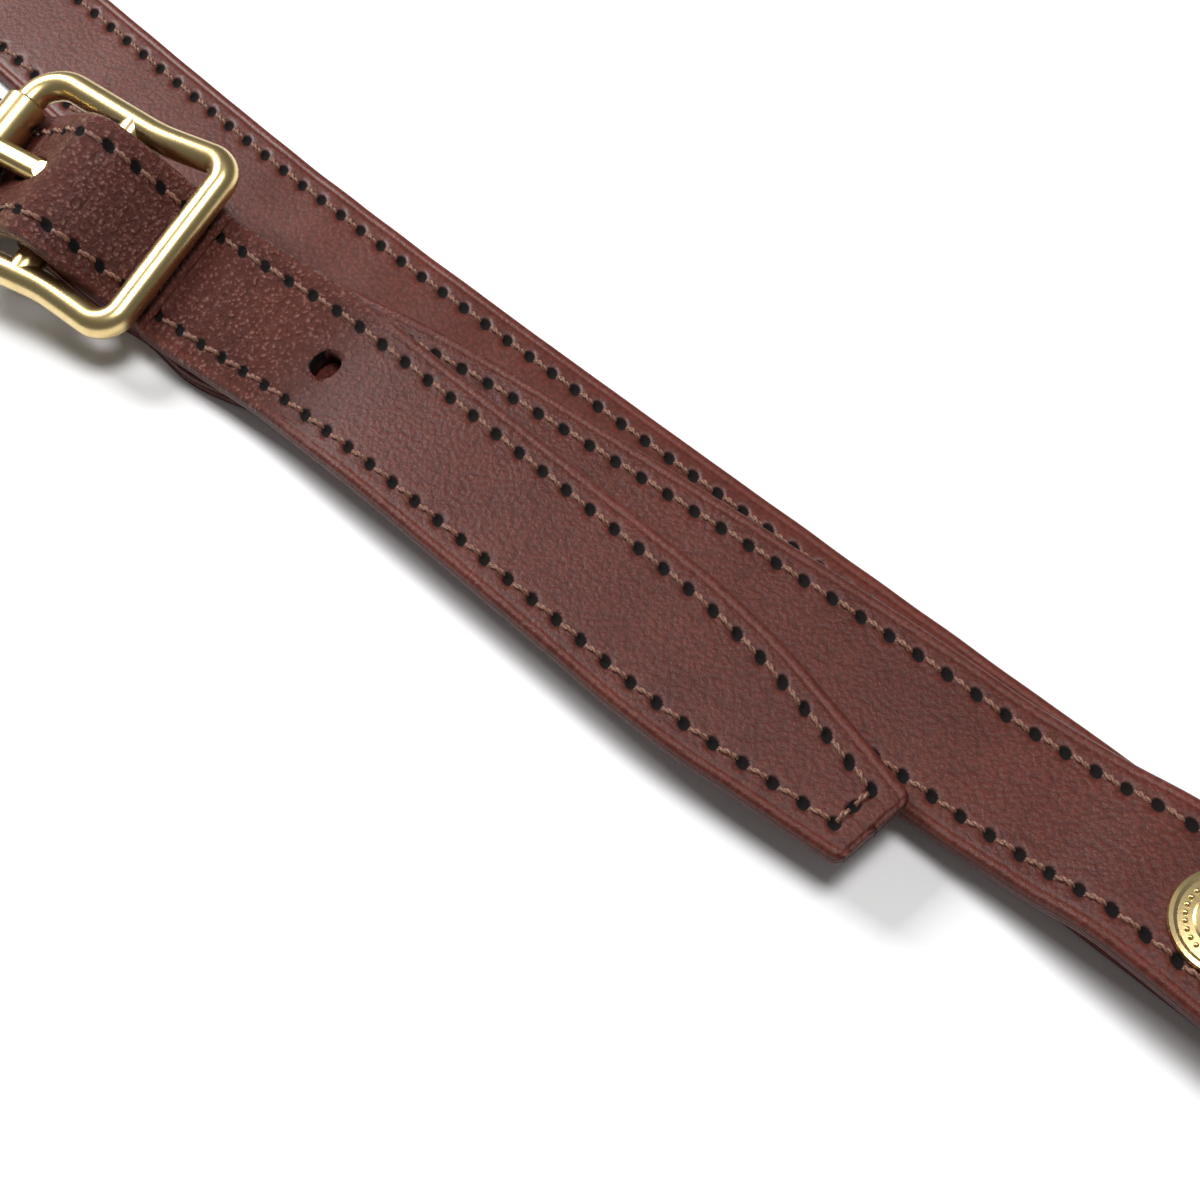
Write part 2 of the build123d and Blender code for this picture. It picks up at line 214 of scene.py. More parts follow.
def leather(name, dark, light, pebble):
    """Vegetable-tanned leather: pebbled grain, pores, cloudy dye, awl holes and punched-hole rims darkened
    with painted shade, and grain tops in bent places lightened partly as pulled-up leather and partly as a
    painted highlight.
    The UV map holds millimetres along and across the strap."""
    s = Shader(name, Roughness=0.4, IOR=1.45, Specular_IOR_Level=0.3)
    uv = s.add("ShaderNodeUVMap").outputs["UV"]
    warp = s.add("ShaderNodeTexNoise", Vector=uv, Scale=1.3, Detail=2.0)
    bent = s.add("ShaderNodeVectorMath", {"operation": "MULTIPLY_ADD"})
    s.plug(warp.outputs["Color"], bent.inputs[0])
    bent.inputs[1].default_value = (0.3, 0.3, 0.3)
    s.plug(uv, bent.inputs[2])
    pebbles = s.add("ShaderNodeTexVoronoi", {"feature": "SMOOTH_F1"}, Vector=bent.outputs[0], Scale=1.75)
    small = s.add("ShaderNodeTexVoronoi", {"feature": "SMOOTH_F1"}, Vector=bent.outputs[0], Scale=4.6)
    pores = s.add("ShaderNodeTexNoise", Vector=uv, Scale=6.0, Detail=4.0, Roughness=0.7)
    patches = s.add("ShaderNodeTexNoise", Vector=uv, Scale=0.06, Detail=5.0, Roughness=0.62)
    awl = s.add("ShaderNodeAttribute", {"attribute_name": "awl"}).outputs["Fac"]
    edge = s.add("ShaderNodeAttribute", {"attribute_name": "edge"}).outputs["Fac"]
    flex = s.add("ShaderNodeAttribute", {"attribute_name": "flex"}).outputs["Fac"]

    cloud = s.ramp(patches.outputs["Fac"], (0.3, grey(0)), (0.72, grey(1)))
    tone = s.mix(cloud, (*dark, 1), (*light, 1))
    valley = s.ramp(pebbles.outputs["Distance"], (0.25, grey(0)), (0.62, grey(1)))
    grained = s.mix(s.math("MULTIPLY", valley, 0.5), tone, (*[c * 0.4 for c in dark], 1))
    fleck = s.ramp(pores.outputs["Fac"], (0.52, grey(0)), (0.78, grey(0.6)))
    flecked = s.mix(fleck, grained, (*[c * 1.5 for c in light], 1))
    worn = s.mix(s.math("MULTIPLY", edge, 0.2), flecked, (*[c * 1.8 for c in light], 1))
    # Grain tops in bent places are mixed towards that tint: partly pull-up lightening, partly a painted
    # highlight.
    tops = s.ramp(pebbles.outputs["Distance"], (0.06, grey(0.42)), (0.34, grey(0)))
    pulled_and_highlit = s.mix(s.math("MULTIPLY", flex, tops), worn, PULLUP_AND_PAINTED_HIGHLIGHT)
    # Painted shade: awl holes and punched-hole rims are darkened to near black.
    hole = s.ramp(awl, (0.12, grey(0)), (0.45, grey(1)))
    colour = s.mix(hole, pulled_and_highlit, PAINTED_HOLE_SHADE)

    dome = s.math("MULTIPLY", pebbles.outputs["Distance"], -1.0)
    height = s.math("ADD", dome, s.math("MULTIPLY", small.outputs["Distance"], -0.4))
    height = s.math("ADD", height, s.math("MULTIPLY", pores.outputs["Fac"], 0.45))
    height = s.math("MULTIPLY", height, s.math("ADD", s.math("MULTIPLY", flex, 1.6), 0.45))
    bump = s.add("ShaderNodeBump", Strength=pebble, Distance=0.00026, Height=height)
    rough = s.ramp(pores.outputs["Fac"], (0.3, grey(0.3)), (0.7, grey(0.48)))
    rough = s.mix(s.math("MULTIPLY", flex, 0.8), rough, (0.29, 0.29, 0.29, 1))
    rough = s.mix(hole, rough, (0.95, 0.95, 0.95, 1))
    return s.finish(colour, rough, bump.outputs["Normal"])


def thread_material():
    """Waxed linen thread, lighter where the wax has worn."""
    s = Shader("thread", Roughness=0.33, Sheen_Weight=0.1, Sheen_Roughness=0.5)
    where = s.add("ShaderNodeTexCoord").outputs["Object"]
    fibres = s.add("ShaderNodeTexNoise", Vector=where, Scale=5200.0, Detail=2.0)
    colour = s.ramp(fibres.outputs["Fac"], (0.3, (0.11, 0.036, 0.022)), (0.7, (0.3, 0.15, 0.095)))
    bump = s.add("ShaderNodeBump", Strength=0.5, Distance=0.00005, Height=fibres.outputs["Fac"])
    return s.finish(colour, None, bump.outputs["Normal"])


def brass_material():
    """Solid brass with a satin polish, rubbed a little brighter in patches."""
    s = Shader("brass", Metallic=1.0, Roughness=0.28)
    where = s.add("ShaderNodeTexCoord").outputs["Object"]
    patches = s.add("ShaderNodeTexNoise", Vector=where, Scale=260.0, Detail=5.0, Roughness=0.6)
    lines = s.add("ShaderNodeTexNoise", Vector=where, Scale=4200.0, Detail=3.0)
    colour = s.ramp(patches.outputs["Fac"], (0.3, (0.62, 0.46, 0.2)), (0.75, (0.78, 0.62, 0.32)))
    rough = s.ramp(patches.outputs["Fac"], (0.3, grey(0.33)), (0.7, grey(0.24)))
    bump = s.add("ShaderNodeBump", Strength=0.22, Distance=0.00003, Height=lines.outputs["Fac"])
    return s.finish(colour, rough, bump.outputs["Normal"])


LEATHER = leather("leather_outer", (0.069, 0.0132, 0.0084), (0.118, 0.0245, 0.0152), 0.8)
BACK_LEATHER = leather("leather_back", (0.08, 0.016, 0.010), (0.125, 0.027, 0.0165), 0.3)
LINING = leather("leather_lining", (0.066, 0.015, 0.010), (0.11, 0.027, 0.018), 0.4)
THREAD = thread_material()
BRASS = brass_material()


# ---- dimensions shared with the CAD ----
STRAP_WIDTH = 20.0
PLY = 1.3
HOLE_RADIUS = 2.0
HOLE_PITCH = 40.0
FIRST_HOLE_BACK = 45.6
SPARE_HOLE = (42.8, -4.7)
YOKE_PLY = 1.2
YOKE_TOP_Z = 3.9

# ---- sewing: the awl holes and the two-strand stitches between them ----
ROW_INSET = 3.35
PITCH = 4.0
AWL_SLANT = math.radians(35)
AWL_HALF_LENGTH = 0.98
AWL_HALF_WIDTH = 0.62
AWL_MARGIN = 0.9
AWL_DEPTH = 0.42
AWL_DEPTH_BEHIND = 0.25
STITCH_MARGIN = 0.65
TIP_STITCH_MARGIN = 0.35
YOKE_STITCH_MARGIN = 0.4
STRAND_RADIUS = 0.21
STRAND_OFFSET = 0.16
STITCH_TWIST = 2.6
CROSS_TWIST = 1.8
STITCH_RISE = 0.2
STITCH_DIP = 0.62
STITCH_SLANT = 0.12
SHOULDER_ROW_START = 46.0
BACK_ROW_START = 36.0
YOKE_SEAM_INSET = 3.4

# ---- the leather's edges and punched holes ----
EDGE_RADIUS = 0.75
CORNER_RADIUS = 1.2
CREASE_INSET = 1.3
CREASE_WIDTH = 0.17
CREASE_DEPTH = 0.09
PLY_GROOVE = 0.16
PRONG_HOLE_BACK = 6.6
PRONG_HOLE = (2.1, 2.0)
HOLE_GRID = 1.59
HOLE_REACH = 3.6
HOLE_RIM_DIP = 0.14

# ---- how finely meshes are cut: strand rings and sides, and steps along a strip ----
FINE_STRAND = (15, 8)
COARSE_STRAND = (7, 5)
FINE_STEP = 0.4
COARSE_STEP = 1.0
MIDDLE_COLUMNS = 10
SEEN_TO = 215.0

# ---- distances past each split, for the end points handed to blended() ----
FOLD_BLEND = 22.0
TAIL_BLEND = 10.0
FLAP_BLEND = 8.0

# ---- the underside's grain is read from another part of the pattern ----
UNDERSIDE_UV = (37.0, 61.0)


# ---- smooth paths through the CAD's stations ----
def slopes(at, values):
    """Slopes of a smooth curve through the values that does not overshoot them."""
    step = np.diff(at)[:, None]
    rate = np.diff(values, axis=0) / step
    same = (rate[1:] * rate[:-1]) > 0
    mean = 2 * rate[1:] * rate[:-1] / np.where(same, rate[1:] + rate[:-1], 1.0)
    inner = np.where(same, mean, 0.0)
    return np.vstack([rate[:1], inner, rate[-1:]])


def smooth(stations, step=0.25):
    """Stations (x, y, z, heading, bank, width) joined by a smooth curve."""
    values = np.array(stations, float)
    gaps = np.linalg.norm(np.diff(values[:, :3], axis=0), axis=1)
    at = np.concatenate([[0], np.cumsum(gaps)])
    slope = slopes(at, values)
    found = []
    for i, gap in enumerate(gaps):
        t = np.linspace(0, 1, max(2, int(gap / step)), endpoint=False)[:, None]
        a = (1 + 2 * t) * (1 - t) ** 2
        b = t * (1 - t) ** 2
        c = t * t * (3 - 2 * t)
        d = t * t * (t - 1)
        found.append(a * values[i] + b * gap * slope[i] + c * values[i + 1] + d * gap * slope[i + 1])
    found.append(values[-1:])
    return np.vstack(found)


class Path:
    """A strap's centre surface: points, sides, normals and widths by distance along it."""

    def __init__(self, stations):
        dense = smooth(stations)
        points = dense[:, :3]
        self.at = np.concatenate([[0], np.cumsum(np.linalg.norm(np.diff(points, axis=0), axis=1))])
        self.length = self.at[-1]
        reach = 3
        ahead = points[np.minimum(np.arange(len(points)) + reach, len(points) - 1)]
        behind = points[np.maximum(np.arange(len(points)) - reach, 0)]
        tangent = ahead - behind
        tangent /= np.linalg.norm(tangent, axis=1)[:, None]
        heading, bank = np.radians(dense[:, 3]), np.radians(dense[:, 4])
        side = np.stack([
            -np.sin(heading) * np.cos(bank), np.cos(heading) * np.cos(bank), np.sin(bank),
        ], axis=1)
        normal = np.cross(tangent, side)
        normal /= np.linalg.norm(normal, axis=1)[:, None]
        self.table = np.hstack([points, side, normal, tangent, dense[:, 5:6]])

    def sample(self, at):
        return np.stack([np.interp(at, self.at, column) for column in self.table.T], axis=1)

    def nearest(self, x, start=0.0, end=None):
        """Distance along the path where it passes a given x, between two distances."""
        end = self.length if end is None else end
        inside = (self.at >= start) & (self.at <= end)
        gap = np.where(inside, abs(self.table[:, 0] - x), 1e9)
        return self.at[int(np.argmin(gap))]


# ---- meshes ----
def add_mesh(name, points, faces, material, uv=None, values=None):
    """A smooth-shaded mesh object, with optional UVs and point values."""
    mesh = bpy.data.meshes.new(name)
    mesh.from_pydata(row(points).tolist(), [], [list(map(int, f)) for f in faces])
    mesh.polygons.foreach_set("use_smooth", [True] * len(mesh.polygons))
    if uv is not None:
        layer = mesh.uv_layers.new(name="UVMap")
        corners = np.zeros(len(mesh.loops), int)
        mesh.loops.foreach_get("vertex_index", corners)
        layer.data.foreach_set("uv", uv[corners].ravel())
    for key, value in (values or {}).items():
        attribute = mesh.attributes.new(key, "FLOAT", "POINT")
        attribute.data.foreach_set("value", value.astype(np.float32))
    mesh.materials.append(material)
    mesh.update()
    thing = bpy.data.objects.new(name, mesh)
    bpy.context.scene.collection.objects.link(thing)
    return thing


EDGE_STEPS = [
    0.0, 0.1, 0.25, 0.45, 0.7, 0.95, 1.15, 1.3, 1.5, 1.8,
    2.2, 2.55, 2.8, 3.05, 3.3, 3.55, 3.8, 4.1, 4.5, 5.0,
]


def columns(half):
    """Sideways places of the grid's columns on a strip of a given half width."""
    inner = half - EDGE_STEPS[-1]
    middle = [-inner + 2 * inner * i / MIDDLE_COLUMNS for i in range(1, MIDDLE_COLUMNS)]
    left = [-half + step for step in EDGE_STEPS]
    return np.array(left + middle + [-u for u in reversed(left)])


def rounding(from_edge, radius):
    """How far a rounded edge falls below the face, by distance from the strip's side."""
    inside = np.clip(radius - from_edge, 0, radius)
    return radius - np.sqrt(np.maximum(radius ** 2 - inside ** 2, 0))


def crease(from_edge):
    """The line pressed into the grain beside a finished edge."""
    return CREASE_DEPTH * np.exp(-((from_edge - CREASE_INSET) / CREASE_WIDTH) ** 2)


def step_list(start, end, fine, phase):
    """Distances along a strip: close together inside the fine spans, elsewhere in step with the awl holes."""
    found = [start]
    at = start
    while at < end - 1e-6:
        near = any(a - COARSE_STEP <= at < b for a, b in fine)
        if near:
            at += FINE_STEP
        else:
            at = phase + (math.floor((at - phase) / COARSE_STEP + 0.01) + 1) * COARSE_STEP
        found.append(min(at, end))
    if len(found) > 2 and found[-1] - found[-2] < 0.15:
        del found[-2]
    return np.array(found)


class Strip:
    """A sewn leather strip: rounded edges, creases, awl holes, punched holes and wrinkles."""

    def __init__(self, name, path, start, end, low=-PLY, high=PLY, fine=(), rows=(), holes=(),
                 wrinkles=None, round_start=False, round_end=False, lower=None, single=(), flexed=()):
        self.name, self.path, self.start, self.end = name, path, start, end
        self.rows, self.holes, self.fine = rows, holes, fine
        self.low = lower or (lambda at: np.full(len(at), low))
        self.high = high
        self.wrinkles, self.single, self.flexed = wrinkles, single, flexed
        self.round_start, self.round_end = round_start, round_end

    def awl(self, at, across, from_edge):
        """How deep in an awl hole a point is, from 0 to 1."""
        value = np.zeros(at.shape)
        for a, b, phase in self.rows:
            within = (at >= a - AWL_MARGIN) & (at <= b + AWL_MARGIN)
            near = (at - phase) / PITCH
            off = (near - np.round(near)) * PITCH
            beside = (ROW_INSET - from_edge) * np.where(across < 0, -1, 1)
            lengthwise = off * math.cos(AWL_SLANT) - beside * math.sin(AWL_SLANT)
            crosswise = off * math.sin(AWL_SLANT) + beside * math.cos(AWL_SLANT)
            oval = (lengthwise / AWL_HALF_LENGTH) ** 2 + (crosswise / AWL_HALF_WIDTH) ** 2
            value = np.maximum(value, within * np.exp(-oval ** 2))
        for place, middle in self.single:
            oval = ((at - place) / AWL_HALF_WIDTH) ** 2 + ((across - middle) / AWL_HALF_LENGTH) ** 2
            value = np.maximum(value, np.exp(-oval ** 2))
        return value

    def bent(self, at):
        """How much the leather has been flexed there, from 0 to 1."""
        value = np.zeros(at.shape)
        for a, b in self.flexed:
            value = np.maximum(value, 1 / (1 + np.exp(-(at - a) / 1.5)) / (1 + np.exp((at - b) / 2.5)))
        return value

    def build(self, material):
        at = step_list(self.start, self.end, self.fine, self.rows[0][2])
        samples = self.path.sample(at)
        count = len(at)
        half = samples[:, 12] / 2
        if self.round_end:
            half = half - 0.8 * rounding(abs(at - self.end), CORNER_RADIUS)
        across = np.array([columns(h) for h in half])
        width = across.shape[1]
        low = self.low(at)
        thick = self.high - low
        radius = np.minimum(EDGE_RADIUS, 0.47 * thick)[:, None]
        from_edge = half[:, None] - abs(across)
        along = at[:, None] + 0 * across
        taper_start = self.end_rounding(at, self.start, self.round_start)
        taper_end = self.end_rounding(at, self.end, self.round_end)
        fall = np.maximum(rounding(from_edge, radius), np.maximum(taper_start, taper_end)[:, None])
        awl = self.awl(along, across, from_edge)
        top = self.high - fall - crease(from_edge) - AWL_DEPTH * awl
        bottom = low[:, None] + fall + AWL_DEPTH_BEHIND * awl
        if self.wrinkles is not None:
            lift = self.wrinkles(along, across)
            top = top + lift
            bottom = bottom + 0.5 * lift
        keep = np.ones((count, width), bool)
        edge_of_hole = np.zeros((count, width), bool)
        shifted_at = along.copy()
        for place, hole_radius, stretch in self.holes:
            nearest = at[np.argmin(abs(at - place))]
            ds = (along - nearest) / stretch
            size = np.maximum(abs(ds), abs(across) * (1.6 / 1.5))
            reach = np.hypot(ds, across) + 1e-9
            share = np.clip((HOLE_REACH - size) / (HOLE_REACH - HOLE_GRID - 0.01), 0, 1)
            share = np.where(size >= HOLE_GRID, share, 0)
            shifted_at = shifted_at + share * (ds / reach * hole_radius - ds) * stretch
            across = across + share * (across / reach * hole_radius - across)
            keep &= size >= HOLE_GRID
            rim = (size >= HOLE_GRID) & (size < HOLE_GRID + 0.03)
            edge_of_hole |= rim
            top = top - HOLE_RIM_DIP * rim - 0.05 * (share > 0.75)
            bottom = bottom + 0.1 * rim
        moved = self.path.sample(shifted_at.ravel()).reshape(count, width, 13)
        points, side, normal = moved[..., :3], moved[..., 3:6], moved[..., 6:9]
        base = points + side * across[..., None]
        upper = base + normal * top[..., None]
        under = base + normal * bottom[..., None]
        walls, wall_uv = self.belt(low, fall, samples, across)
        verts = np.concatenate([upper.reshape(-1, 3), under.reshape(-1, 3), walls.reshape(-1, 3)])
        faces = self.faces(count, width, keep, edge_of_hole, walls.shape[2])
        uv_top = np.stack([shifted_at, across], axis=-1).reshape(-1, 2)
        uv = np.concatenate([uv_top, uv_top + np.array(UNDERSIDE_UV), wall_uv.reshape(-1, 2)])
        plain = np.zeros(walls.size // 3)
        # The 'awl' value carries painted shade: awl holes, and the rims of punched holes, are darkened in the
        # shader.
        dark = np.concatenate([(awl + 0.8 * edge_of_hole).ravel(), awl.ravel(), plain])
        wear = np.exp(-((from_edge - 0.9) / 0.35) ** 2).ravel()
        # flex also lightens grain tops in the shader, partly as a painted highlight.
        flex = self.bent(along).ravel()
        values = {
            "awl": np.clip(dark, 0, 1),
            "edge": np.concatenate([wear, wear, plain]),
            "flex": np.concatenate([flex, flex, plain]),
        }
        verts, faces, uv, values = tidy(verts, faces, uv, values)
        return add_mesh(self.name, verts, faces, material, uv, values)

    def end_rounding(self, at, end, wanted):
        """How far a rounded end falls below the face, where it is wanted."""
        if not wanted:
            return np.zeros(len(at))
        return rounding(abs(at - end), EDGE_RADIUS)

    def belt(self, low, fall, samples, across):
        """The strip's two side walls, with the fine groove between its plies."""
        shares = np.array([0.25, 0.42, 0.5, 0.58, 0.75])
        notch = np.array([0.0, 0.0, PLY_GROOVE, 0.0, 0.0])
        bulge = np.array([0.1, 0.14, 0.14, 0.14, 0.1])
        sides, coordinates = [], []
        for sign, column in ((-1, 0), (1, -1)):
            top = self.high - fall[:, column]
            bottom = low + fall[:, column]
            height = bottom[:, None] + (top - bottom)[:, None] * shares
            two_ply = (low < -0.5 * PLY)[:, None]
            out = abs(across[:, column])[:, None] + bulge - notch * two_ply
            point = samples[:, None, :3] + samples[:, None, 3:6] * (sign * out)[..., None]
            sides.append(point + samples[:, None, 6:9] * height[..., None])
            along = np.broadcast_to(np.arange(len(low))[:, None] * FINE_STEP, height.shape)
            coordinates.append(np.stack([along, height + 90 * sign], axis=-1))
        return np.stack(sides, axis=1), np.stack(coordinates, axis=1)

    def faces(self, count, width, keep, edge_of_hole, levels):
        under = count * width
        walls = 2 * count * width
        found = []

        def top(i, j):
            return i * width + j

        def wall(i, side, k):
            return walls + (i * 2 + side) * levels + k

        for i in range(count - 1):
            for j in range(width - 1):
                corners = ((i, j), (i, j + 1), (i + 1, j + 1), (i + 1, j))
                if all(keep[a] for a in corners) and not all(edge_of_hole[a] for a in corners):
                    a, b, c, d = (top(*corner) for corner in corners)
                    found.append((a, d, c, b))
                    found.append((under + a, under + b, under + c, under + d))
            for side, j in ((0, 0), (1, width - 1)):
                ladder, after = (
                    [under + top(n, j)] + [wall(n, side, k) for k in range(levels)] + [top(n, j)]
                    for n in (i, i + 1)
                )
                for k in range(levels + 1):
                    quad = (ladder[k], after[k], after[k + 1], ladder[k + 1])
                    found.append(quad if side == 0 else quad[::-1])
        found += self.rims(found, under)
        for i, flip in ((0, False), (count - 1, True)):
            found += self.cap(i, width, under, levels, wall, top, flip)
        return found

    def rims(self, faces, under):
        """Walls between the two faces round every punched hole."""
        edges = {}
        for face in faces:
            if max(face) < under:
                for a, b in zip(face, face[1:] + face[:1]):
                    edges[(a, b)] = edges.get((a, b), 0) + 1
        width = len(columns(STRAP_WIDTH / 2))
        last = under // width - 1
        found = []
        for a, b in edges:
            if (b, a) in edges:
                continue
            column_a, column_b = a % width, b % width
            outside = (column_a == column_b and column_a in (0, width - 1))
            at_end = a // width == b // width and a // width in (0, last)
            if not outside and not at_end:
                found.append((b, a, under + a, under + b))
        return found

    def cap(self, i, width, under, levels, wall, top, flip):
        """The flat end of the strip: quads between the two faces, and a fan at each side."""
        found = []
        for j in range(width - 1):
            quad = (top(i, j), top(i, j + 1), under + top(i, j + 1), under + top(i, j))
            found.append(quad if flip else quad[::-1])
        for side, j in ((0, 0), (1, width - 1)):
            fan = [top(i, j), under + top(i, j)] + [wall(i, side, k) for k in range(levels)]
            found.append(tuple(fan) if (side == 0) == (not flip) else tuple(reversed(fan)))
        return found

    def stitches(self):
        """Two-strand stitches from awl hole to awl hole along both rows."""
        spans = []
        for a, b, phase in self.rows:
            first = math.ceil((a - phase) / PITCH)
            last = math.floor((b - phase) / PITCH)
            spans += [phase + PITCH * k for k in range(first, last)]
        points, quads = [], []
        for face in (1, -1):
            for side in (-1, 1):
                for begin in spans:
                    self.one_stitch(begin, side, face, points, quads)
        return add_mesh(self.name + "_thread", np.concatenate(points), quads, THREAD)

    def one_stitch(self, begin, side, face, points, quads):
        """One stitch of a row, on the upper (face 1) or the lower (face -1) side."""
        fine = any(a <= begin <= b for a, b in self.fine) and face * self.face_up(begin) > 0
        rings, sides = FINE_STRAND if fine else COARSE_STRAND
        t = np.linspace(0, 1, rings)
        at = begin + STITCH_MARGIN + (PITCH - 2 * STITCH_MARGIN) * t
        samples = self.path.sample(at)
        lift = (self.high if face > 0 else -self.low(at)) + stitch_arch(t)
        out = side * (samples[:, 12] / 2 - ROW_INSET) + side * STITCH_SLANT * np.cos(math.pi * t)
        line = samples[:, :3] + samples[:, 3:6] * out[:, None] + samples[:, 6:9] * (face * lift)[:, None]
        twisted_pair(line, samples[:, 3:6], samples[:, 6:9], STITCH_TWIST, sides, False, points, quads)

    def face_up(self, at):
        return self.path.sample(np.array([at]))[0, 8]


def stitch_arch(t):
    """A stitch's height over the leather: a low arch that dives into an awl hole at each end."""
    arch = np.sin(math.pi * t)
    return STITCH_RISE * arch ** 0.6 - STITCH_DIP * (1 - arch ** 0.35)


def twisted_pair(line, level, up, twist, sides, flip, points, quads):
    """Adds two round strands twisted about a stitch's line. Level and up are square to the line, the
    twist is in half turns, and flip winds the faces the other way. As called here, the faces point
    outwards on the yoke's thread and inwards on all others."""
    rings = len(line)
    t = np.linspace(0, 1, rings)
    size = STRAND_RADIUS * (0.75 + 0.25 * np.sin(math.pi * t))
    angle = np.linspace(0, 2 * math.pi, sides, endpoint=False)
    for strand in (0, math.pi):
        turn = strand + twist * math.pi * t
        centre = line + STRAND_OFFSET * (level * np.cos(turn)[:, None] + up * np.sin(turn)[:, None])
        ring = (
            centre[:, None]
            + level[:, None] * (size[:, None] * np.cos(angle))[..., None]
            + up[:, None] * (size[:, None] * np.sin(angle))[..., None]
        )
        first = sum(len(p) for p in points)
        points.append(ring.reshape(-1, 3))
        for i in range(rings - 1):
            for k in range(sides):
                a, b = first + i * sides + k, first + i * sides + (k + 1) % sides
                quads.append((a, b, b + sides, a + sides) if flip else (a, a + sides, b + sides, b))
        start_cap = tuple(first + k for k in range(sides))
        end_cap = tuple(first + (rings - 1) * sides + k for k in reversed(range(sides)))
        quads.extend((start_cap[::-1], end_cap[::-1]) if flip else (start_cap, end_cap))


def tidy(verts, faces, uv, values):
    """Drops the points that no face uses."""
    used = np.zeros(len(verts), bool)
    for face in faces:
        used[list(face)] = True
    renumber = np.cumsum(used) - 1
    faces = [tuple(renumber[list(face)]) for face in faces]
    return verts[used], faces, uv[used], {key: value[used] for key, value in values.items()}


# ---- the CAD's stations, repeated ----
def vertical_loop(x, y, z, radius, heading_in, heading_out, outward, rising, steps=12):
    """Stations round half a turn in a vertical plane, where a strap doubles back."""
    found = []
    for i in range(1, steps):
        angle = math.pi * i / steps
        heading = heading_in + (heading_out - heading_in) * i / steps
        reach = outward * radius * math.sin(angle)
        h = math.radians(heading)
        rise = rising * radius * (1 - math.cos(angle))
        found.append((x + reach * math.cos(h), y + reach * math.sin(h), z + rise, heading, 0.0, STRAP_WIDTH))
    return found


def full(run):
    """Stations with their bank and width filled in."""
    return [tuple(s) + (0.0, STRAP_WIDTH)[len(s) - 4:] for s in run]


def arc_points(cx, cz, radius, start, end, steps):
    """Points (x, z) on an arc in the buckle's side view."""
    angles = [math.radians(start + (end - start) * i / steps) for i in range(steps + 1)]
    return [(cx + radius * math.cos(a), cz + radius * math.sin(a)) for a in angles]


BAR_RADIUS = 2.0
ROLLER_RADIUS = 2.9
FRAME_HALF_LENGTH = 15.3
FRAME_PITCH = -3.0
REST_GAP = 0.3
FOLD_INNER = BAR_RADIUS + 0.06
OVER_BAR = FOLD_INNER + PLY + REST_GAP + 0.1 + PLY
UNDER_BAR = BAR_RADIUS + REST_GAP + 0.1 + PLY
UNDER_ROLLER = ROLLER_RADIUS + REST_GAP + PLY
END_X = FRAME_HALF_LENGTH * math.cos(math.radians(FRAME_PITCH))
END_Z = FRAME_HALF_LENGTH * math.sin(math.radians(FRAME_PITCH))
FALL = math.degrees(math.asin((OVER_BAR + UNDER_BAR) / FRAME_HALF_LENGTH)) - FRAME_PITCH
CLIMB = math.degrees(math.asin((OVER_BAR + UNDER_ROLLER) / FRAME_HALF_LENGTH)) + FRAME_PITCH
STRAP_PROFILE = (
    arc_points(-END_X, -END_Z, UNDER_ROLLER, -90, CLIMB - 90, 3)
    + arc_points(0, 0, OVER_BAR, 90 + CLIMB, 90 - FALL, 7)
    + arc_points(END_X, END_Z, UNDER_BAR, 270 - FALL, 270, 3)
)
TAB_JOIN = (9.3, -4.5)
TAB_LEVEL = END_Z - UNDER_BAR - 2 * PLY - REST_GAP
JOIN_ANGLE = math.degrees(math.atan2(TAB_JOIN[1], TAB_JOIN[0]))
TANGENT_ANGLE = JOIN_ANGLE - math.degrees(math.acos(FOLD_INNER / math.hypot(*TAB_JOIN)))
TAB_WRAP = arc_points(0, 0, FOLD_INNER, TANGENT_ANGLE, 90 - FALL - 360, 9)
TAB_EXIT = [(5.2, -1.3), TAB_JOIN] + arc_points(END_X, END_Z, END_Z - TAB_LEVEL, 270 - FALL, 270, 2)
FOLD_WIDTH = 18.0

TAB_RUN = [
    (25.0, -4.2, 1.4, 5.0, 1.95, 9.5, 20.0), (38.0, -2.4, 1.4, 3.0, 2.6, 9.0, 20.0),
    (38.8, -2.3, 1.4, 3.0, 2.62, 8.8, 20.0), (49.0, -0.9, 1.4, 1.5, 2.9, 4.5, 20.0),
    (62.0, 0.0, 1.4, 0.5, 2.85, 0.5, 20.0), (85.0, 0.3, 1.4, 0.0, 2.8, 0.0, 20.0),
    (112.0, 0.3, 1.4, -1.0, 2.8, 0.0, 20.0), (135.0, -0.5, 1.6, -3.0, 2.8, 0.0, 20.0),
    (149.0, -1.4, 3.6, -4.5, 2.8, 0.0, 20.0), (160.5, -2.4, 6.6, -6.0, 2.8, 0.0, 20.0),
    (168.0, -3.2, 6.6, -6.0, 2.8, 0.0, 20.0), (175.5, -4.0, 6.6, -6.0, 2.8, 0.0, 20.0),
    (187.0, -5.2, 8.8, -6.0, 2.8, 0.0, 20.0), (200.0, -6.5, 9.2, -6.0, 2.8, 0.0, 20.0),
    (216.0, -8.2, 9.2, -6.0, 2.8, 0.0, 20.0),
]
FLAP_RUN = [
    (216.0, -8.2, 1.4, -6.0, 2.8, 0.0, 20.0), (200.0, -6.5, 1.4, -6.0, 2.8, 0.0, 20.0),
    (189.0, -5.3, 1.4, -6.0, 2.8, 0.0, 17.5), (179.0, -4.3, 1.4, -6.0, 2.8, 0.0, 13.5),
    (160.5, -2.4, 1.4, -6.0, 2.8, 0.0, 12.0),
]
